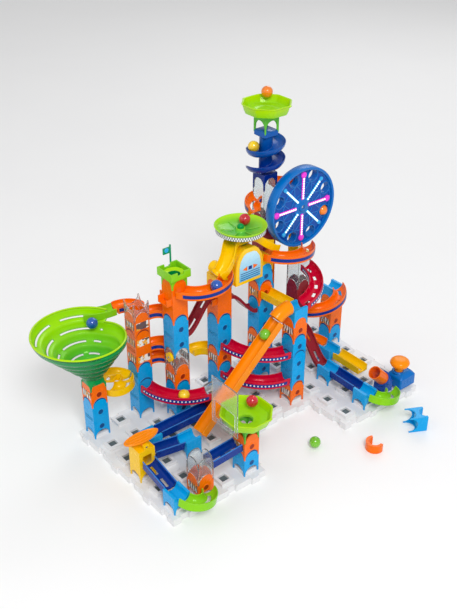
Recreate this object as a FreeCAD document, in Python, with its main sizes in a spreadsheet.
import FreeCAD, Part
import math
import os
import Sketcher
from FreeCAD import Placement, Rotation, Vector

# Marble run: white peg plates, stacked square columns, half-pipe tracks, a spiral funnel,
# a rolling house with a spinning dish, a big wheel, a marble launcher and a tipping leaf.
# Frame: +Z up, the plates rest on z = 0, the origin is the middle of the 6 by 12 peg grid.
# A place is given as (column, row) on the peg grid and a level; one level is one short column.

os.makedirs("parts", exist_ok=True)
doc = FreeCAD.newDocument("MarbleRun")
sheet = doc.addObject("Spreadsheet::Sheet", "Sizes")

SIZES = [
    ("pitch", 42.0, "peg spacing of the plates"),
    ("level", 30.0, "height of one short column"),
    ("plate_height", 11.0, "thickness of a base plate"),
    ("boss_height", 5.5, "height of a peg above the plate"),
    ("boss_width", 22.8, "width of a peg"),
    ("recess_width", 13.0, "square recess in each peg"),
    ("recess_depth", 11.0, "depth of that recess"),
    ("tab_width", 14.0, "jigsaw tab on a plate edge"),
    ("tab_reach", 3.6, "how far a jigsaw tab stands out"),
    ("play", 0.35, "clearance between parts that slide together"),
    ("column_width", 27.3, "outside width of a column"),
    ("wall", 1.8, "wall of a column"),
    ("arch_radius", 11.8, "arched cut between the legs"),
    ("arch_lift", 2.0, "height of the arch centre above the feet"),
    ("block_top", 14.4, "solid top of a track block"),
    ("track_width", 22.0, "outside width of a track"),
    ("track_height", 12.0, "height of a track"),
    ("track_floor", 2.0, "material under the groove"),
    ("groove_radius", 9.6, "half-pipe groove in tracks"),
    ("slot_width", 5.0, "light slot along a track"),
    ("marble", 18.0, "marble diameter"),
    ("small_bend", 28.35, "bend between diagonal neighbours"),
    ("u_bend", 44.7, "bulging bend between columns two pegs apart"),
    ("loop_bend", 16.0, "bend of the loop between two towers"),
    ("tight_bend", 21.0, "bend between neighbouring columns"),
    ("large_bend", 70.35, "bend two pegs across and two along"),
    ("bowl_rim", 39.0, "corner radius of an octagonal bowl's rim"),
    ("bowl_base", 34.0, "corner radius of the bowl's underside"),
    ("bowl_depth", 15.0, "height of the bowl above its neck"),
    ("bowl_neck", 24.0, "height of the square neck under a bowl"),
    ("bowl_hole", 11.0, "radius of the bowl's outlet"),
    ("shell", 2.0, "thickness of moulded shells"),
    ("panel_width", 56.7, "width of the clear backboard"),
    ("panel_height", 78.0, "height of the clear backboard"),
    ("cup_width", 35.5, "width of the square cup"),
    ("cup_depth", 12.5, "depth of the square cup"),
    ("cup_neck", 16.0, "height of the neck under the cup"),
    ("flag_pole", 37.0, "height of the flag pole"),
    ("funnel_rim", 72.0, "radius of the funnel's rim"),
    ("funnel_neck", 21.0, "height of the square neck under the funnel"),
    ("funnel_depth", 75.0, "height of the funnel cone"),
    ("funnel_outlet", 11.0, "radius of the funnel's outlet"),
    ("rim_step", 9.0, "how far the rim drops where the feed lane enters"),
    ("helix_radius", 31.0, "outside radius of the helix"),
    ("helix_pitch", 26.0, "rise of one turn of the helix"),
    ("helix_lip", 6.0, "height of the helix lane's outer lip"),
    ("post_radius", 10.5, "radius of the helix post"),
    ("house_depth", 36.0, "front to back depth of the house"),
    ("wheel_radius", 67.0, "radius of the big wheel"),
    ("wheel_width", 17.5, "width of the big wheel"),
    ("wheel_sink", 4.0, "depth of the wheel's sunken face"),
    ("pocket_radius", 9.6, "marble pocket in the wheel"),
    ("pocket_circle", 53.0, "radius of the ring of pockets"),
    ("spoke_length", 43.0, "length of a lamp spoke on the wheel"),
    ("axle_radius", 3.0, "radius of the wheel's axle"),
    ("dish_radius", 41.0, "radius of the spinning dish"),
    ("dish_depth", 13.0, "height of the spinning dish"),
    ("pin_radius", 1.5, "radius of the small pins"),
    ("knob_radius", 16.5, "radius of the launcher knob"),
    ("knob_travel", 8.0, "how far the launcher knob is pressed"),
    ("stem_radius", 7.0, "radius of the knob's stem"),
    ("housing_length", 36.0, "length of the launcher housing"),
    ("housing_width", 31.0, "width of the launcher housing"),
    ("housing_height", 26.0, "height of the launcher housing"),
    ("cannon_radius", 11.0, "outside radius of the cannon tube"),
    ("cannon_length", 38.0, "length of the cannon tube"),
    ("leaf_radius", 29.0, "half length of the tipping leaf"),
    ("leaf_width", 23.0, "width of the tipping leaf"),
    ("running_gap", 0.06, "radial gap of a shaft in its hole"),
]


def fill_sheet():
    """Write the driving dimensions into the spreadsheet."""
    for row, (alias, value, note) in enumerate(SIZES, start=1):
        sheet.set("A%d" % row, note)
        sheet.set("B%d" % row, str(value))
        sheet.setAlias("B%d" % row, alias)
    doc.recompute()


fill_sheet()
SIZE = {alias: float(sheet.get(alias)) for alias, value, note in SIZES}
PITCH = SIZE["pitch"]
LEVEL = SIZE["level"]
HALF_COLUMN = SIZE["column_width"] / 2
FACE = HALF_COLUMN / PITCH          # from a column's axis to its face, in pegs
MARBLE_RADIUS = SIZE["marble"] / 2
GRID_MIDDLE = (1.5, 5.5)            # peg coordinates of the origin
SEAT_LIFT = 0.3                     # hair gap that keeps a marble off its track
X_AXIS = Vector(1, 0, 0)
Y_AXIS = Vector(0, 1, 0)
Z_AXIS = Vector(0, 0, 1)
subparts = {}


def peg(column, row, level=0.0):
    """Point at a peg position; level 0 is the top of the base plates."""
    x = (column - GRID_MIDDLE[0]) * PITCH
    y = (row - GRID_MIDDLE[1]) * PITCH
    return Vector(x, y, SIZE["plate_height"] + level * LEVEL)


def turn(axis, degrees, at=Vector(0, 0, 0)):
    """Placement that rotates about an axis and then moves to a point."""
    return Placement(at, Rotation(axis, degrees))


def rule(text):
    """Expression text in which each size name is read from the sheet."""
    words = text.split()
    return " ".join("Sizes." + word if word in SIZE else word for word in words)


def bind(item, **rules):
    for prop, text in rules.items():
        item.setExpression(prop, rule(text))


def box(length, width, height, at=Vector(0, 0, 0), middle=True):
    """Box bound to the sheet, centred on x and y unless told otherwise."""
    item = doc.addObject("Part::Box", "Block")
    bind(item, Length=length, Width=width, Height=height)
    if middle:
        item.setExpression("Placement.Base.x", rule("%.4f - ( %s ) / 2" % (at.x, length)))
        item.setExpression("Placement.Base.y", rule("%.4f - ( %s ) / 2" % (at.y, width)))
        item.setExpression("Placement.Base.z", "%.4f" % at.z)
    else:
        item.Placement.Base = at
    return item


def cylinder(radius, height, place=Placement(), sweep=360):
    item = doc.addObject("Part::Cylinder", "Round")
    bind(item, Radius=radius, Height=height)
    item.Angle = sweep
    item.Placement = place
    return item


def ball(radius, at=Vector(0, 0, 0)):
    item = doc.addObject("Part::Sphere", "Ball")
    bind(item, Radius=radius)
    item.Placement.Base = at
    return item


def torus(ring, tube, at=Vector(0, 0, 0)):
    item = doc.addObject("Part::Torus", "Ring")
    bind(item, Radius1=ring, Radius2=tube)
    item.Placement.Base = at
    return item


def join(*items):
    if len(items) == 1:
        return items[0]
    result = doc.addObject("Part::MultiFuse", "Join")
    result.Shapes = list(items)
    result.Refine = True
    return result


def cut(base, *tools):
    result = doc.addObject("Part::Cut", "Trim")
    result.Base = base
    result.Tool = join(*tools)
    result.Refine = True
    return result


def overlap(first, second):
    result = doc.addObject("Part::MultiCommon", "Shared")
    result.Shapes = [first, second]
    return result


def octagon(radius, at):
    item = doc.addObject("Part::RegularPolygon", "Octagon")
    item.Polygon = 8
    bind(item, Circumradius=radius)
    item.Placement = turn(Z_AXIS, 22.5, at)
    return item


def circle(radius, place):
    item = doc.addObject("Part::Circle", "Outline")
    bind(item, Radius=radius)
    item.Placement = place
    return item


def loft(*outlines):
    item = doc.addObject("Part::Loft", "Loft")
    item.Sections = list(outlines)
    item.Solid = True
    item.Ruled = True
    return item


def keep(item, label, place=None):
    """Name a finished sub-part and set it in its place."""
    if place is not None:
        item.Placement = place
    item.Label = label
    subparts[label] = item
    return item


def keep_set(label, items):
    """One node that holds several finished pieces, each a separate solid."""
    group = doc.addObject("Part::Compound", label)
    group.Links = items
    return keep(group, label)


def keep_copies(label, pieces):
    """One node of separate solids, each given as a piece and the place of its copy."""
    doc.recompute()
    copies = []
    for piece, place in pieces:
        shape = piece.Shape.copy()
        shape.Placement = place.multiply(shape.Placement)
        copies.append(shape)
    item = doc.addObject("Part::Feature", label)
    item.Shape = Part.makeCompound(copies)
    return keep(item, label)


# ---------------------------------------------------------------- sketches and bodies

def origin_plane(body, role):
    return next(plane for plane in body.Origin.OriginFeatures if plane.Role == role)


def new_body(name):
    return doc.addObject("PartDesign::Body", name)


def new_sketch(body, role, name="Profile"):
    sketch = body.newObject("Sketcher::SketchObject", name)
    sketch.AttachmentSupport = [(origin_plane(body, role), "")]
    sketch.MapMode = "FlatFace"
    return sketch


def number(text):
    """Value of an expression made of sheet sizes."""
    value = sheet.evalExpression(rule(text))
    return float(getattr(value, "Value", value))


def outline_sketch(body, role, corners):
    """Closed outline through corners given as pairs of expressions, each one bound."""
    sketch = new_sketch(body, role)
    points = [Vector(number(u), number(v), 0) for u, v in corners]
    for index, point in enumerate(points):
        following = points[(index + 1) % len(points)]
        sketch.addGeometry(Part.LineSegment(point, following), False)
    for index, (u, v) in enumerate(corners):
        before = (index - 1) % len(corners)
        sketch.addConstraint(Sketcher.Constraint("Coincident", before, 2, index, 1))
        for kind, text in (("DistanceX", u), ("DistanceY", v)):
            constraint = Sketcher.Constraint(kind, -1, 1, index, 1, number(text))
            place = sketch.addConstraint(constraint)
            sketch.setExpression("Constraints[%d]" % place, rule(text))
    return sketch


def circle_sketch(body, role, radius, centre=("0", "0")):
    sketch = new_sketch(body, role)
    middle = Vector(number(centre[0]), number(centre[1]), 0)
    sketch.addGeometry(Part.Circle(middle, Z_AXIS, number(radius)), False)
    place = sketch.addConstraint(Sketcher.Constraint("Radius", 0, number(radius)))
    sketch.setExpression("Constraints[%d]" % place, rule(radius))
    for kind, text in (("DistanceX", centre[0]), ("DistanceY", centre[1])):
        constraint = Sketcher.Constraint(kind, -1, 1, 0, 3, number(text))
        place = sketch.addConstraint(constraint)
        sketch.setExpression("Constraints[%d]" % place, rule(text))
    return sketch


def pad(body, sketch, length, both=False):
    feature = body.newObject("PartDesign::Pad", "Pad")
    feature.Profile = sketch
    feature.Midplane = both
    bind(feature, Length=length)
    return feature


def pocket(body, sketch, depth, reverse=False, both=False):
    feature = body.newObject("PartDesign::Pocket", "Pocket")
    feature.Profile = sketch
    feature.Reversed = reverse
    feature.Midplane = both
    bind(feature, Length=depth)
    return feature


def revolve(body, sketch):
    feature = body.newObject("PartDesign::Revolution", "Revolution")
    feature.Profile = sketch
    feature.ReferenceAxis = (sketch, ["V_Axis"])
    feature.Angle = 360
    return feature


# ---------------------------------------------------------------- base plates

def base_plate():
    """Two by four pegs, with jigsaw tabs and notches on all four edges."""
    plate = box("2 * pitch - 0.1", "4 * pitch - 0.1", "plate_height")
    bottom = SIZE["plate_height"] + SIZE["boss_height"] - SIZE["recess_depth"]
    pegs = []
    recesses = []
    for column in (-0.5, 0.5):
        for row in (-1.5, -0.5, 0.5, 1.5):
            at = Vector(column * PITCH, row * PITCH, 0)
            pegs.append(box("boss_width", "boss_width", "plate_height + boss_height", at))
            at = Vector(at.x, at.y, bottom)
            recesses.append(box("recess_width", "recess_width", "recess_depth + 1", at))
    long_tab = ("tab_width", "2 * tab_reach", "plate_height")
    wide_tab = ("2 * tab_reach", "tab_width", "plate_height")
    long_notch = ("tab_width + 2 * play", "2 * tab_reach + 2 * play", "plate_height")
    wide_notch = ("2 * tab_reach + 2 * play", "tab_width + 2 * play", "plate_height")
    tabs = []
    notches = []
    for side in (-1, 1):
        end = side * 2 * PITCH
        tabs.append(box(*long_tab, Vector(side * PITCH / 2, end, 0)))
        notches.append(box(*long_notch, Vector(-side * PITCH / 2, end, 0)))
        for row in (-1.5, 0.5):
            tab_row = row if side < 0 else row + 1
            notch_row = row + 1 if side < 0 else row
            tabs.append(box(*wide_tab, Vector(side * PITCH, tab_row * PITCH, 0)))
            notches.append(box(*wide_notch, Vector(side * PITCH, notch_row * PITCH, 0)))
    return cut(cut(join(plate, *pegs, *tabs), *notches), *recesses)


def add_base():
    """Eight plates in an L: three at the front, two in the middle, three at the back."""
    plate = base_plate()
    pieces = []
    for row, columns in ((1.5, (0, 2, 4)), (5.5, (0, 2)), (9.5, (0, 2, 4))):
        for column in columns:
            at = peg(column - 0.5, row)
            pieces.append((plate, Placement(Vector(at.x, at.y, 0), Rotation())))
    keep_copies("base_plates", pieces)


# ---------------------------------------------------------------- columns

def arch_pair(radius):
    """Two crossing round bars whose upper half shapes the arches of a column's feet."""
    lift = SIZE["arch_lift"]
    return [cylinder(radius, "column_width + 2",
                     turn(Y_AXIS, 90, Vector(-HALF_COLUMN - 1, 0, lift))),
            cylinder(radius, "column_width + 2",
                     turn(X_AXIS, 90, Vector(0, HALF_COLUMN + 1, lift)))]


def square_tube(height):
    return cut(box("column_width", "column_width", height),
               box("column_width - 2 * wall", "column_width - 2 * wall", height + " + 2",
                   Vector(0, 0, -1)))


def moved(item, place):
    """The same piece set in another place, for use in a larger one."""
    holder = doc.addObject("Part::Compound", "Moved")
    holder.Links = [item]
    holder.Placement = place
    return holder


def column(levels, tabs=True):
    """Square hollow column with arched feet and, unless left off, tongues on top."""
    tube = cut(square_tube("%d * level" % levels), *arch_pair("arch_radius"))
    if not tabs:
        return tube
    tongues = overlap(square_tube("level / 2"), join(*arch_pair("arch_radius - play")))
    return join(tube, moved(tongues, Placement(Vector(0, 0, levels * LEVEL), Rotation())))


TOWERS = {
    "funnel": ((-1, 0), [("tall_blue", 0), ("short_orange", 2)]),
    "crown": ((-1, 2), [("tall_blue", 0), ("short_blue", 2), ("tall_orange", 3),
                        ("short_orange", 5), ("crown_clear", 6)]),
    "castle": ((0, 3), [("tall_blue", 0), ("short_orange", 2), ("short_clear", 3),
                        ("tall_blue", 4), ("hub_hubs", 6)]),
    "house_left": ((0, 5), [("tall_blue", 0), ("short_orange", 2), ("tall_blue", 3),
                            ("hub_hubs", 5)]),
    "house_right": ((0, 7), [("tall_blue", 0), ("short_orange", 2), ("tall_blue", 3),
                             ("short_orange", 5), ("short_blue", 6)]),
    "slide": ((2, 7), [("short_orange", 0), ("tall_blue", 1), ("short_blue", 3),
                       ("short_orange", 4)]),
    "corner": ((0, 11), [("short_blue", 0), ("tall_orange", 1)]),
    "wheel": ((0, 9), [("tall_blue", 0), ("short_blue", 2), ("tall_maroon", 3),
                       ("open_clear", 5)]),
    "catcher": ((4, 3), [("short_blue", 0), ("short_orange", 1)]),
    "front": ((4, 1), [("short_orange", 0), ("short_clear", 1)]),
    "high": ((-1, 8), [("tall_blue", 0), ("short_orange", 2), ("tall_blue", 3),
                       ("tall_orange", 5), ("tall_maroon", 7), ("tall_clear", 9)]),
    "joint": ((1, 4), [("short_maroon", 0)]),
}


def hub_column():
    """Tall column with two flared lips near its top, where side tracks meet."""
    lips = []
    for angle in (180, 270):
        lip = cut(box("9", "column_width - 4", "11", Vector(HALF_COLUMN + 4.4, 0, 34)),
                  box("9", "column_width - 8", "11", Vector(HALF_COLUMN + 4.4, 0, 36)))
        lips.append(moved(lip, turn(Z_AXIS, angle)))
    return join(column(2), *lips)


def crown():
    """Short column without tongues, its top edge arched into four pointed corners."""
    return cut(column(1, tabs=False),
               *[moved(bar, Placement(Vector(0, 0, LEVEL - SIZE["arch_lift"]), Rotation()))
                 for bar in arch_pair("arch_radius")])


def add_columns():
    """Every tower's sections, one node for each colour."""
    masters = {"tall": column(2), "short": column(1), "open": column(2, tabs=False),
               "hub": hub_column(), "crown": crown()}
    groups = {}
    for spot, stack in TOWERS.values():
        for kind, level in stack:
            form, colour = kind.split("_")
            place = Placement(peg(spot[0], spot[1], level), Rotation())
            groups.setdefault(colour, []).append((masters[form], place))
    block = track_block()
    groups["clear"].append((block, Placement(peg(1, 4, 1), Rotation(Z_AXIS, 90))))
    for colour, pieces in groups.items():
        keep_copies("columns_" + colour, pieces)


# ---------------------------------------------------------------- track blocks and tracks

def groove_cutter(length, lift):
    """Round bar along x that shapes a half-pipe groove."""
    return cylinder("groove_radius", "%.3f + 2" % length,
                    turn(Y_AXIS, 90, Vector(-length / 2 - 1, 0, lift)))


def track_block():
    """Short column with arched feet and a half-pipe groove along x across its top."""
    cavity = box("column_width - 2 * wall", "column_width - 2 * wall", "level - block_top + 1",
                 Vector(0, 0, -1))
    groove = groove_cutter(SIZE["column_width"], LEVEL - 0.6)
    return cut(box("column_width", "column_width", "level"), cavity, groove,
               *arch_pair("arch_radius"))


def add_blocks():
    block = track_block()
    along_x = Rotation(Z_AXIS, 0)
    along_y = Rotation(Z_AXIS, 90)
    places = [Placement(peg(4, 0), along_x), Placement(peg(2, 2), along_y),
              Placement(peg(1, 1), along_y), Placement(peg(2, 9), along_x),
              Placement(peg(4, 9), along_x), Placement(peg(1, 10), along_x),
              Placement(peg(2, 7, 5), along_y), Placement(peg(0, 11, 3), along_x)]
    keep_copies("track_blocks", [(block, place) for place in places])


GROOVE_LIFT = SIZE["track_floor"] + SIZE["groove_radius"]
MARBLE_LIFT = SIZE["track_floor"] + MARBLE_RADIUS + SEAT_LIFT
TRACK_HALF = SIZE["track_width"] / 2
END_GAP = 0.5                       # a track's end stops this far from a column


def trough(length, slots=0):
    """Half-pipe track along x, centred, with light slots through its floor."""
    body = box("%.3f" % length, "track_width", "track_height")
    cutters = [groove_cutter(length, GROOVE_LIFT)]
    for index in range(slots):
        middle = ((index + 0.5) / slots - 0.5) * length
        cutters.append(box("%.3f" % (length / slots - 8), "slot_width", "track_height",
                           Vector(middle, 0, -1)))
    return cut(body, *cutters)


def between(start, end):
    """Placement that lays a part along the line from one point to another."""
    run = end - start
    flat = math.degrees(math.atan2(run.y, run.x))
    rise = math.degrees(math.atan2(run.z, math.hypot(run.x, run.y)))
    spin = Rotation(Z_AXIS, flat).multiply(Rotation(Y_AXIS, -rise))
    return Placement((start + end) * 0.5, spin)


def straight_run(start, end, slots=2):
    """Straight track between two places, each (column, row, level) of its underside."""
    first = peg(*start)
    last = peg(*end)
    rise = abs(last.z - first.z)
    length = (last - first).Length - 2 * (END_GAP + rise / 4)
    item = trough(length, slots)
    item.Placement = between(first, last)
    return item


def arc_track(bend, sweep, slots=2):
    """Curved half-pipe track about its bend centre, from angle 0 to the sweep angle."""
    outer = cylinder(bend + " + track_width / 2", "track_height", sweep=sweep)
    below = Placement(Vector(0, 0, -1), Rotation())
    cutters = [cylinder(bend + " - track_width / 2", "track_height + 2", below),
               torus(bend, "groove_radius", Vector(0, 0, GROOVE_LIFT))]
    margin = math.degrees(5 / SIZE[bend])
    for index in range(slots):
        ring = cylinder(bend + " + slot_width / 2", "track_height",
                        sweep=sweep / slots - 2 * margin)
        slot = cut(ring, cylinder(bend + " - slot_width / 2", "track_height + 2", below))
        slot.Placement = turn(Z_AXIS, sweep * index / slots + margin, Vector(0, 0, -1))
        cutters.append(slot)
    return cut(outer, *cutters)


def arc_place(centre, bend, start, sweep, low, high):
    """Placement of an arc track whose ends stand at two levels, tilted in one plane."""
    radius = SIZE[bend]
    middle = peg(centre[0], centre[1], (low + high) / 2)
    ends = [middle + Vector(math.cos(math.radians(angle)), math.sin(math.radians(angle)), 0)
            * radius for angle in (start, start + sweep)]
    chord = ends[1] - ends[0]
    tilt = math.degrees(math.asin((high - low) * LEVEL / chord.Length))
    chord.normalize()
    pivot = (ends[0] + ends[1]) * 0.5
    lean = Placement(pivot, Rotation(chord.cross(Z_AXIS), tilt))
    lean = lean.multiply(Placement(pivot * -1, Rotation()))
    return lean.multiply(turn(Z_AXIS, start, middle))


def arc_run(centre, bend, start, sweep, low, high, slots=2):
    """Arc track from `start` degrees round its bend; low and high are its end levels."""
    chord = 2 * SIZE[bend] * math.sin(math.radians(sweep / 2))
    lean = SIZE["track_height"] * abs(high - low) * LEVEL / chord
    gap = math.degrees((END_GAP + lean) / SIZE[bend])
    item = arc_track(bend, sweep - 2 * gap, slots)
    item.Placement = arc_place(centre, bend, start, sweep, low, high).multiply(
        turn(Z_AXIS, gap))
    return item


U_HALF_SWEEP = 70.0
U_BACK = SIZE["u_bend"] * math.cos(math.radians(U_HALF_SWEEP))    # bend centre to the faces
U_CENTRE = FACE - U_BACK / PITCH                                  # in pegs from the columns


def u_run(row, low, high):
    """Track that bulges out from one column to the next but one, both at column 0."""
    sweep = 2 * U_HALF_SWEEP
    back = box("2 * u_bend", "4 * u_bend", "4 * track_height", middle=False)
    back.Placement = turn(Z_AXIS, U_HALF_SWEEP).multiply(
        Placement(Vector(U_BACK + 1 - 2 * SIZE["u_bend"], -2 * SIZE["u_bend"],
                         -SIZE["track_height"]), Rotation()))
    item = cut(arc_track("u_bend", sweep, 4), back)
    item.Placement = arc_place((U_CENTRE, row), "u_bend", -U_HALF_SWEEP, sweep, low, high)
    return item


U_TRACKS = {"castle": (4, 7.6, 7.7), "house": (8, 7.75, 7.5), "corner": (10, 3.35, 3.85)}
CROWN_ARC = ((-1 + FACE, 4 - FACE), "large_bend", 270, 90, 1.75, 1.55)


def add_tracks():
    """Straight and curved half-pipe tracks, grouped by kind."""
    near = FACE
    keep_set("navy_straight_tracks", [
        straight_run((2 + near, 0, 1.0), (4 - near, 0, 0.62)),
        straight_run((2, near, 0.95), (2, 2 - near, 0.62)),
        straight_run((1, 1 + near, 0.62), (1, 4 - near, 0.62), 4),
        straight_run((4, 1 + near, 1.5), (4, 3 - near, 1.62)),
        straight_run((2 + near, 9, 0.62), (4 - near, 9, 0.62))])
    keep_set("yellow_straight_track", [straight_run((near, 7, 5.5), (2 - near, 7, 5.6))])
    keep_set("red_curved_tracks", [
        arc_run(*CROWN_ARC, 6),
        arc_run((near, 7 - near), "large_bend", 270, 90, 3.4, 3.1, 6),
        arc_run((near, 7 - near), "large_bend", 270, 90, 1.6, 1.4, 6),
        arc_run((near, 7 + near), "large_bend", 0, 90, 5.7, 6.3, 5)])
    keep_set("orange_u_tracks", [u_run(*levels) for levels in U_TRACKS.values()])
    keep_set("lime_u_tracks", [
        arc_run((4 + near, row), "tight_bend", 270, 180, 0.6, 0.35, 1) for row in (0.5, 9.5)])
    half = near + SIZE["small_bend"] / PITCH        # a column's axis to a small bend's end
    bends = [arc_run((-near, 2 + near), "small_bend", 90, 90, high, high - 0.2, 1)
             for high in (5.95, 4.0, 3.2)]
    bends.append(arc_run((-1 - near, 3 - half - near), "small_bend", 90, 90, 5.9, 5.8, 1))
    bends.append(arc_run((half - 1 - near, 8 - near), "small_bend", 180, 90, 10.2, 10.05, 1))
    bends.append(arc_run((half - 1 - near, 8 + near), "small_bend", 90, 90, 10.55, 10.7, 1))
    bends.append(arc_run((half - near, 9 + near), "small_bend", 90, 90, 0.66, 0.9, 1))
    keep_set("orange_bend_tracks", bends)
    keep_set("yellow_bend_tracks", [
        arc_run((-near, 4 + near), "small_bend", 90, 90, 2.5, 2.3, 1),
        arc_run((-1, 1), "loop_bend", 270, 180, 2.3, 2.45, 2),
        arc_run((-1, 1), "loop_bend", 90, 180, 2.45, 2.7, 2)])


def steep_track(start, end):
    """Steep S-shaped slide between two facing columns, level at both ends."""
    first = peg(*start)
    last = peg(*end)
    run = math.hypot(last.x - first.x, last.y - first.y) - 2 * END_GAP
    drop = first.z - last.z
    steps = 16
    floor = 3.0
    lip = 4.0
    rim = 2.0
    upper = []
    for index in range(steps + 1):
        share = index / steps
        fall = drop * (1 - math.cos(math.pi * share)) / 2
        upper.append(Vector(-run / 2 + run * share, 0, drop / 2 - fall))
    lower = [point - Vector(0, 0, floor) for point in reversed(upper)]
    raised = [point + Vector(0, 0, lip) for point in upper]

    def ribbon(top, y, width):
        corners = top + lower + top[:1]
        face = Part.Face(Part.makePolygon([point + Vector(0, y, 0) for point in corners]))
        return face.extrude(Vector(0, width, 0))

    shape = ribbon(upper, -TRACK_HALF, SIZE["track_width"])
    shape = shape.fuse([ribbon(raised, -TRACK_HALF, rim), ribbon(raised, TRACK_HALF - rim, rim)])
    for share in (-0.22, 0.22):
        slot = Part.makeBox(run * 0.26, SIZE["slot_width"], 3 * drop)
        slot.translate(Vector(run * (share - 0.13), -SIZE["slot_width"] / 2, -1.5 * drop))
        shape = shape.cut(slot)
    item = doc.addObject("Part::Feature", "Steep")
    item.Shape = shape.removeSplitter()
    heading = math.degrees(math.atan2(last.y - first.y, last.x - first.x))
    item.Placement = turn(Z_AXIS, heading, (first + last) * 0.5)
    return item


def add_steep_tracks():
    keep_set("steep_tracks", [steep_track((0, 5 - FACE, 6.7), (0, 3 + FACE, 5.0)),
                              steep_track((0, 5 + FACE, 6.2), (0, 7 - FACE, 4.7)),
                              steep_track((FACE, 9, 2.4), (2 - FACE, 9, 0.8))])


SLIDE_ANGLE = 43.0                  # how steeply the long slide falls
ELBOW_RING = 40.0                   # bend radius of the elbow, at the marble's path
ELBOW_TOP = peg(2, 7 - FACE, 6.05)  # where the path leaves the high block
SLIDE_TOP = ELBOW_TOP - Vector(0, ELBOW_RING * math.sin(math.radians(SLIDE_ANGLE)),
                               ELBOW_RING * (1 - math.cos(math.radians(SLIDE_ANGLE))))
SLIDE_RUN = SLIDE_TOP.y - peg(2, 2.4).y
SLIDE_FOOT = SLIDE_TOP - Vector(0, SLIDE_RUN, SLIDE_RUN * math.tan(math.radians(SLIDE_ANGLE)))


def add_slides():
    """Tube elbow on the high block and the long slide that runs down to a low block."""
    place = between(SLIDE_FOOT, SLIDE_TOP)
    slide = trough((SLIDE_TOP - SLIDE_FOOT).Length - 2 * END_GAP)
    keep(slide, "long_slide", place.multiply(Placement(Vector(0, 0, -GROOVE_LIFT), Rotation())))
    rings = []
    for tube in ("groove_radius + shell", "groove_radius"):
        ring = doc.addObject("Part::Torus", "Ring")
        bind(ring, Radius1=str(ELBOW_RING), Radius2=tube)
        ring.Angle3 = SLIDE_ANGLE - 2
        rings.append(ring)
    spin = Rotation(Y_AXIS, 90).multiply(Rotation(Z_AXIS, 180))
    place = Placement(ELBOW_TOP - Vector(0, END_GAP, ELBOW_RING), spin)
    keep(cut(*rings), "slide_elbow", place)


# ---------------------------------------------------------------- bowls, cup and funnel

def neck(height):
    """Square hollow neck with arched feet that plugs on a column."""
    return cut(square_tube(height), *arch_pair("arch_radius"))


def bowl():
    """Octagonal catching bowl on a square neck, with an outlet down the column."""
    rise = SIZE["bowl_neck"]
    top = rise + SIZE["bowl_depth"]
    outer = loft(octagon("bowl_base", Vector(0, 0, rise)), octagon("bowl_rim", Vector(0, 0, top)))
    inner = loft(octagon("bowl_hole", Vector(0, 0, rise + SIZE["shell"])),
                 octagon("bowl_rim - shell", Vector(0, 0, top + 0.1)))
    outlet = cylinder("bowl_hole - 0.5", "level", Placement(Vector(0, 0, rise - 5), Rotation()))
    return cut(join(outer, neck("bowl_neck")), inner, outlet)


def add_bowls():
    keep(bowl(), "top_bowl", Placement(peg(-1, 8, 14.1), Rotation()))
    keep(bowl(), "catcher_bowl", Placement(peg(4, 3, 2.27), Rotation()))
    at = peg(4, 3 - 0.93, 3.15)
    panel = box("panel_width", "1.6", "panel_height", at)
    window = box("panel_width - 12", "3", "level", at + Vector(0, 0, 8))
    keep(cut(panel, window), "catcher_backboard")


def add_castle():
    """Square cup with a round outlet and, beside it, a flag on a pole."""
    rise = SIZE["cup_neck"]
    outer = box("cup_width", "cup_width", "cup_depth", Vector(0, 0, rise))
    hollow = box("cup_width - 2 * shell", "cup_width - 2 * shell", "cup_depth",
                 Vector(0, 0, rise + SIZE["shell"]))
    outlet = cylinder("bowl_hole - 1", "level", Placement(Vector(0, 0, rise - 5), Rotation()))
    gap = box("2 * cup_width", "11", "6", Vector(0, 0, rise + SIZE["cup_depth"] - 5))
    place = Placement(peg(0, 3, 8), Rotation())
    keep(cut(join(outer, neck("cup_neck + 1")), hollow, outlet, gap), "castle_cup", place)
    foot = Vector(-SIZE["cup_width"] / 2 - 1.5, 8, rise + 3)
    pole = cylinder("1.4", "flag_pole", Placement(foot, Rotation()))
    clip = box("3", "6", "4", foot)
    cloth = box("1.6", "13", "10", foot + Vector(0, -6.5, SIZE["flag_pole"] - 13))
    keep(join(pole, clip, cloth), "castle_flag", place)


def funnel():
    """Skewed funnel: a round rim off to one side, narrowing to the column's axis."""
    base = SIZE["funnel_neck"]
    top = base + SIZE["funnel_depth"]
    aside = Vector(-0.165 * PITCH, -0.265 * PITCH, 0)
    rim = aside + Vector(0, 0, top)
    outer = loft(circle("funnel_outlet + 3", Placement(Vector(0, 0, base), Rotation())),
                 circle("funnel_rim", Placement(rim, Rotation())))
    inner = loft(circle("funnel_outlet", Placement(Vector(0, 0, base - 0.1), Rotation())),
                 circle("funnel_rim - 1.5 * shell", Placement(rim + Vector(0, 0, 0.2),
                                                             Rotation())))
    step = cylinder("funnel_rim + 5", "rim_step + 1",
                    turn(Z_AXIS, 50, rim - Vector(0, 0, SIZE["rim_step"])), 70)
    return cut(join(outer, neck("funnel_neck + 2")), inner, step)


def add_funnel():
    keep(funnel(), "spiral_funnel", Placement(peg(-1, 0, 3), Rotation()))


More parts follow.
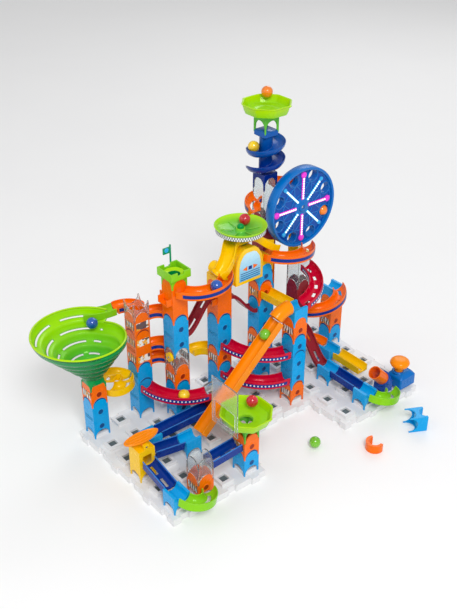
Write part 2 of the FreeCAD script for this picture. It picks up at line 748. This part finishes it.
def add_helix():
    """Spiral lane round a post, between a square collar below and one above."""
    turns = 1.6
    pitch = SIZE["helix_pitch"]
    inner = SIZE["post_radius"] - 1
    outer = SIZE["helix_radius"]
    floor = 2.2
    lip = SIZE["helix_lip"]
    lane = [Vector(inner, 0, 0), Vector(outer, 0, 0), Vector(outer, 0, lip),
            Vector(outer - floor, 0, lip), Vector(outer - floor, 0, floor),
            Vector(inner, 0, floor)]
    spine = Part.Wire(Part.makeHelix(pitch, turns * pitch, outer))
    profile = Part.makePolygon(lane + lane[:1])
    swept = spine.makePipeShell([profile], True, True)
    swept.translate(Vector(0, 0, 0.82 * LEVEL))
    swept.rotate(Vector(0, 0, 0), Z_AXIS, 225)
    post = Part.makeCylinder(SIZE["post_radius"], 2.2 * LEVEL, Vector(0, 0, 0.7 * LEVEL))
    wide = SIZE["column_width"]
    collar = neck("0.72 * level")
    doc.recompute()
    deck = Part.makeBox(wide, wide, 2.4, Vector(-HALF_COLUMN, -HALF_COLUMN, 0.7 * LEVEL))
    head = Part.makeBox(wide, wide, 9, Vector(-HALF_COLUMN, -HALF_COLUMN, 3 * LEVEL - 9))
    item = doc.addObject("Part::Feature", "Helix")
    item.Shape = swept.fuse([post, collar.Shape, deck, head]).removeSplitter()
    keep(item, "helix", Placement(peg(-1, 8, 11), Rotation()))


# ---------------------------------------------------------------- house and spinning dish

HOUSE_SPOT = peg(0.13, 6, 7.05)
HOUSE_TOP = 1.95 * LEVEL            # ridge above the house's own floor


def house_outline(inset):
    """Gable seen along x: walls, sloping shoulders and a flat ridge under the dish."""
    side = "0.64 * pitch - %s" % inset
    ridge = "0.3 * pitch - %s * 0.6" % inset
    eaves = "1.25 * level - %s * 0.4" % inset
    top = "1.95 * level - %s" % inset
    foot = "0 - %s" % inset
    return [("-1 * ( %s )" % side, foot), (side, foot), (side, eaves), (ridge, top),
            ("-1 * ( %s )" % ridge, top), ("-1 * ( %s )" % side, eaves)]


def house_shell():
    """Gabled shell, open below, joined to a square foot on the column at each side."""
    body = new_body("HouseShell")
    body.Tip = pad(body, outline_sketch(body, "YZ_Plane", house_outline("0")),
                   "house_depth", both=True)
    doc.recompute()
    body.Tip = pocket(body, outline_sketch(body, "YZ_Plane", house_outline("shell")),
                      "house_depth - 2 * shell", both=True)
    doc.recompute()
    body.Placement = Placement(HOUSE_SPOT, Rotation())
    pieces = [body]
    for row, side in ((5, 1), (7, -1)):
        deck = box("column_width", "column_width", "shell", Vector(0, 0, 0.75 * LEVEL - 2))
        bridge = box("column_width - 4", "4", "0.75 * level - 15",
                     Vector(0, side * (HALF_COLUMN + 1), 15))
        foot = join(neck("0.75 * level"), deck, bridge)
        pieces.append(moved(foot, Placement(peg(0, row, 7), Rotation())))
    return join(*pieces)


def add_house():
    keep(house_shell(), "house_shell")
    left_foot = peg(0.62, 4.74, 8.08)
    left_top = peg(0.62, 5.22, 8.95)
    left = trough((left_top - left_foot).Length)
    left.Placement = between(left_foot, left_top)
    right = trough(0.72 * PITCH)
    right.Placement = between(peg(0.05, 7.45, 7.98), peg(0.05, 6.85, 8.55))
    keep_set("house_chutes", [left, right])
    panel = new_body("WindowPanel")
    panel.Tip = pad(panel, outline_sketch(panel, "YZ_Plane", house_outline("5")), "1.2")
    doc.recompute()
    front = HOUSE_SPOT + Vector(SIZE["house_depth"] / 2 + 0.02, 0, 0.25 * LEVEL)
    keep(panel, "house_window_panel", Placement(front, Rotation()))
    drum = cylinder("9", "16", turn(Y_AXIS, 90, Vector(-8, 0, 9)))
    keep(drum, "house_drum", Placement(peg(0, 4.88, 7.75) + Vector(0, 0, 0.1), Rotation()))


DISH_SPOT = peg(0, 6, 9.55)


def add_dish():
    """Shallow dish that spins on a pivot pin above the house."""
    bore = "axle_radius + running_gap"
    body = new_body("Dish")
    profile = [(bore, "0"), ("axle_radius + 6", "0"), ("dish_radius * 0.8", "dish_depth * 0.35"),
               ("dish_radius", "dish_depth"), ("dish_radius - shell", "dish_depth"),
               ("dish_radius * 0.8 - shell", "dish_depth * 0.35 + shell"),
               ("axle_radius + 6", "2.6"), ("axle_radius + 4", "8"), (bore, "8")]
    body.Tip = revolve(body, outline_sketch(body, "XZ_Plane", profile))
    doc.recompute()
    keep(body, "spinning_dish", Placement(DISH_SPOT, Rotation()))
    foot = Vector(DISH_SPOT.x, DISH_SPOT.y, HOUSE_SPOT.z + HOUSE_TOP)
    rise = DISH_SPOT.z - foot.z - 0.4
    pin = join(cylinder("axle_radius", "%.3f + 8" % rise), cylinder("11", "%.3f" % rise))
    keep(pin, "dish_pivot", Placement(foot, Rotation()))
    cap = cut(ball("axle_radius + 2.5", Vector(0, 0, 1.6)),
              box("30", "30", "20", Vector(0, 0, -20)))
    keep(cap, "dish_cap", Placement(DISH_SPOT + Vector(0, 0, 8), Rotation()))


# ---------------------------------------------------------------- big wheel

WHEEL_SPOT = peg(-0.08, 9.02, 9.75)  # middle of the wheel
SPOKES = 8


def add_wheel():
    """Wheel about x with eight marble pockets and lamp spokes sunk in its face."""
    body = new_body("Wheel")
    body.Tip = pad(body, circle_sketch(body, "YZ_Plane", "wheel_radius"), "wheel_width",
                   both=True)
    doc.recompute()
    bore = circle_sketch(body, "YZ_Plane", "axle_radius + running_gap")
    body.Tip = pocket(body, bore, "2 * wheel_width", both=True)
    doc.recompute()
    hole = circle_sketch(body, "YZ_Plane", "pocket_radius",
                         ("pocket_circle * 0.9239", "pocket_circle * 0.3827"))
    holes = pocket(body, hole, "2 * wheel_width", both=True)
    doc.recompute()
    pattern = body.newObject("PartDesign::PolarPattern", "Pockets")
    pattern.Originals = [holes]
    pattern.Axis = (origin_axis(body, "X_Axis"), [""])
    pattern.Angle = 360
    pattern.Occurrences = SPOKES
    body.Tip = pattern
    doc.recompute()
    face = SIZE["wheel_width"] / 2
    sunk = face - SIZE["wheel_sink"]
    recess = cylinder("wheel_radius - 3", "wheel_width", turn(Y_AXIS, 90, Vector(sunk, 0, 0)))
    keep(cut(body, recess), "wheel_disc", Placement(WHEEL_SPOT, Rotation()))
    for label, first in (("wheel_spokes_pink", 0), ("wheel_spokes_blue", 1)):
        arms = []
        for index in range(first, SPOKES, 2):
            arm = box("2.4", "4.6", "spoke_length", Vector(sunk + 1.2, 0, 12))
            arms.append(moved(arm, turn(X_AXIS, 360 * index / SPOKES)))
        keep_set(label, arms).Placement = Placement(WHEEL_SPOT, Rotation())


def origin_axis(body, role):
    return next(axis for axis in body.Origin.OriginFeatures if axis.Role == role)


def add_wheel_stand():
    """Axle through the wheel and the upright behind it that carries the axle."""
    back = -SIZE["wheel_width"] / 2 - 6
    front = SIZE["wheel_width"] / 2 - SIZE["wheel_sink"]
    axle = cylinder("axle_radius", "%.3f" % (front - back))
    keep(axle, "wheel_axle", turn(Y_AXIS, 90, WHEEL_SPOT + Vector(back, 0, 0)))
    foot = Vector(WHEEL_SPOT.x, peg(0, 9).y, peg(0, 9, 7).z)
    height = WHEEL_SPOT.z - foot.z
    aside = WHEEL_SPOT.y - foot.y
    upright = box("5", "18", "%.3f" % (height + 12), Vector(back + 2.5, 0, 0))
    shelf = box("column_width", "column_width", "2.6", Vector(peg(0, 9).x - foot.x, 0, 0))
    bore = cylinder("axle_radius", "30", turn(Y_AXIS, 90, Vector(back - 10, aside, height)))
    keep(cut(join(upright, shelf), bore), "wheel_stand", Placement(foot, Rotation()))


# ---------------------------------------------------------------- marble launcher

KNOB_SPOT = peg(4, 10.9) + Vector(1, 0, 0)


def add_launcher():
    """Housing with a sprung mushroom knob, and a cannon tube on its own bracket."""
    tall = SIZE["housing_height"]
    house_at = KNOB_SPOT + Vector(2, 5, SIZE["boss_height"] + 0.3)
    outer = box("housing_width", "housing_length", "housing_height")
    hollow = box("housing_width - 2 * shell", "housing_length - 2 * shell", "housing_height",
                 Vector(0, 0, -SIZE["shell"]))
    hole = cylinder("stem_radius + 0.4", "2 * housing_height",
                    Placement(KNOB_SPOT + Vector(0, 0, SIZE["boss_height"]) - house_at,
                              Rotation()))
    keep(cut(outer, hollow, hole), "launcher_housing", Placement(house_at, Rotation()))
    body = new_body("Knob")
    profile = [("0", "0"), ("stem_radius", "0"), ("stem_radius", "knob_travel + 18"),
               ("knob_radius * 0.8", "knob_travel + 19"), ("knob_radius", "knob_travel + 23"),
               ("knob_radius", "knob_travel + 26"), ("knob_radius * 0.8", "knob_travel + 30"),
               ("knob_radius * 0.4", "knob_travel + 31.5"), ("0", "knob_travel + 32")]
    body.Tip = revolve(body, outline_sketch(body, "XZ_Plane", profile))
    doc.recompute()
    stem_foot = house_at.z + tall - SIZE["knob_travel"] - 9
    keep(body, "launcher_knob", Placement(Vector(KNOB_SPOT.x, KNOB_SPOT.y, stem_foot),
                                          Rotation()))
    seat = SIZE["plate_height"] + SIZE["boss_height"]
    coil = cut(cylinder("stem_radius - 1", "%.3f" % (stem_foot - seat - 0.1)),
               cylinder("stem_radius - 2.2", "2 * housing_height",
                        Placement(Vector(0, 0, -1), Rotation())))
    keep(coil, "launcher_spring", Placement(Vector(KNOB_SPOT.x, KNOB_SPOT.y, seat),
                                            Rotation()))


CANNON_TILT = 45                    # the cannon points up and towards the catcher, at -y


def add_cannon():
    """Tilted tube in a cradle, and the trough that loads it."""
    base = turn(X_AXIS, CANNON_TILT, peg(3.92, 10.2, 0.75))
    tube = cut(cylinder("cannon_radius", "cannon_length"),
               cylinder("groove_radius", "cannon_length + 12",
                        Placement(Vector(0, 0, -5), Rotation())))
    keep(tube, "cannon_tube", base)
    bed = cylinder("cannon_radius + 0.1", "3 * cannon_length",
                   base.multiply(Placement(Vector(0, 0, -SIZE["cannon_length"]), Rotation())))
    collar = cylinder("cannon_radius + 2.5", "8",
                      base.multiply(Placement(Vector(0, 0, 1), Rotation())))
    stand = box("24", "18", "20", peg(3.92, 10.14, 0.2))
    keep(cut(join(collar, stand), bed), "cannon_bracket")
    keep(trough(60.0, 1), "loading_trough", Placement(peg(2.2, 10, 0.62), Rotation()))


# ---------------------------------------------------------------- tipping leaf

def add_leaf():
    """Yellow post with a window and a leaf-shaped paddle that tips on a pin."""
    tall = 2 * LEVEL - 4
    wide = SIZE["column_width"]
    tube = cut(box("column_width", "column_width", "%.1f" % tall),
               box("column_width - 2 * wall", "column_width - 2 * wall", "%.1f" % (tall - 2),
                   Vector(0, 0, -0.01)), *arch_pair("arch_radius"))
    window = box("column_width", "15", "16", Vector(wide / 2, 0, 30))
    ears = cut(box("column_width", "8", "9", Vector(0, 0, tall)),
               box("17", "10", "9", Vector(0, 0, tall)))
    hinge = tall + 5
    bore = cylinder("pin_radius", "2 * column_width", turn(Y_AXIS, 90, Vector(-wide, 0, hinge)))
    keep(cut(join(cut(tube, window), ears), bore), "leaf_post", Placement(peg(2, 0), Rotation()))
    pin = cylinder("pin_radius", "column_width")
    pivot = peg(2, 0) + Vector(0, 0, hinge)
    keep(pin, "leaf_pin", turn(Y_AXIS, 90, pivot - Vector(HALF_COLUMN, 0, 0)))
    drop = 2.9
    blade = cylinder("leaf_radius", "3.2", Placement(Vector(0, 0, 4.6), Rotation()))
    trim = [box("leaf_radius", "3 * leaf_radius", "20",
                Vector(side * (SIZE["leaf_radius"] + SIZE["leaf_width"]) / 2, 0, -1))
            for side in (-1, 1)]
    web = box("14", "5", "6")
    hub = cylinder("3.2", "14", turn(Y_AXIS, 90, Vector(-7, 0, -drop)))
    through = cylinder("pin_radius + running_gap", "40", turn(Y_AXIS, 90,
                                                            Vector(-20, 0, -drop)))
    web.Placement.Base.z = -drop
    leaf = cut(join(cut(blade, *trim), web, hub), through)
    keep(leaf, "tipping_leaf", Placement(pivot + Vector(0, 0, drop), Rotation()))


# ---------------------------------------------------------------- small parts and marbles

def add_spinner():
    """Small disc that turns on a pin in the side of the castle tower."""
    at = peg(0.1, 3 - FACE, 4.0)
    disc = cut(cylinder("7.5", "4", turn(X_AXIS, 90)),
               cylinder("pin_radius + running_gap", "20", turn(X_AXIS, 90, Vector(0, 10, 0))))
    keep(disc, "spinner_disc", Placement(at + Vector(0, -0.8, 0), Rotation()))
    keep(cylinder("pin_radius", "5.4"), "spinner_pin", turn(X_AXIS, 90, at))


def add_loose_parts():
    """A spare track block and a spare bend that lie beside the plates."""
    block = track_block()
    spot = peg(5.83, 9.42)
    place = Placement(Vector(spot.x, spot.y, HALF_COLUMN),
                      Rotation(Z_AXIS, 62).multiply(Rotation(Y_AXIS, 90)))
    keep_copies("loose_block", [(block, place)])
    spot = peg(5.9, 7.6)
    bend = cut(cylinder("14", "14", sweep=230), cylinder("9.6", "20"))
    keep(bend, "loose_bend", Placement(Vector(spot.x, spot.y, 0), Rotation(Z_AXIS, 150)))


def arc_seat(centre, bend, start, sweep, low, high, angle):
    """Middle of a marble that rests in an arc track at an angle round its bend."""
    radius = SIZE[bend]
    spot = Vector(radius * math.cos(math.radians(angle)),
                  radius * math.sin(math.radians(angle)), MARBLE_LIFT)
    return arc_place(centre, bend, start, sweep, low, high).multVec(spot)


def add_marbles():
    slide = between(SLIDE_FOOT, SLIDE_TOP)
    half = (SLIDE_TOP - SLIDE_FOOT).Length / 2
    row, low, high = U_TRACKS["castle"]
    loose = peg(4.46, 5.95)
    seats = {
        "marble_orange_top": peg(-1, 8, 15.64) + Vector(-20.8, 18.3, 0),
        "marble_yellow_helix": peg(-1, 8, 13.135) + Vector(-7.1, -18.7, 0),
        "marble_red_dish": DISH_SPOT + Vector(-9.3, 15.7, 13.7),
        "marble_orange_wheel": WHEEL_SPOT + Vector(0, 49.0, -20.8),
        "marble_blue_castle": arc_seat((U_CENTRE, row), "u_bend", -U_HALF_SWEEP,
                                       2 * U_HALF_SWEEP, low, high, U_HALF_SWEEP + 5),
        "marble_green_slide": slide.multVec(Vector(half * 0.73, 0, MARBLE_LIFT - GROOVE_LIFT)),
        "marble_yellow_crown": arc_seat(*CROWN_ARC, 56),
        "marble_blue_funnel": peg(-1, 0, 5.77) + Vector(-36.6, 26.7, 0),
        "marble_red_catcher": peg(4, 3, 3.675) + Vector(-9.7, 18.9, 0),
        "marble_green_loose": Vector(loose.x, loose.y, MARBLE_RADIUS),
    }
    for label, at in seats.items():
        keep(ball("marble / 2"), label, Placement(at, Rotation()))


def check_and_export():
    """Stop on any failed object or bad shape, then write every sub-part."""
    doc.recompute()
    for item in doc.Objects:
        if "Invalid" in item.State or "Error" in item.State:
            raise RuntimeError("failed: %s %s %s" % (item.Name, item.Label, item.State))
    for label, item in subparts.items():
        if item.Shape.isNull() or not item.Shape.isValid():
            raise RuntimeError("bad shape: " + label)
    for label, item in subparts.items():
        item.Shape.exportStep("parts/%s.step" % label)
    print(len(subparts), "sub-parts written")


add_base()
add_columns()
add_blocks()
add_tracks()
add_steep_tracks()
add_slides()
add_bowls()
add_castle()
add_funnel()
add_helix()
add_house()
add_dish()
add_wheel()
add_wheel_stand()
add_launcher()
add_cannon()
add_leaf()
add_spinner()
add_loose_parts()
add_marbles()
check_and_export()
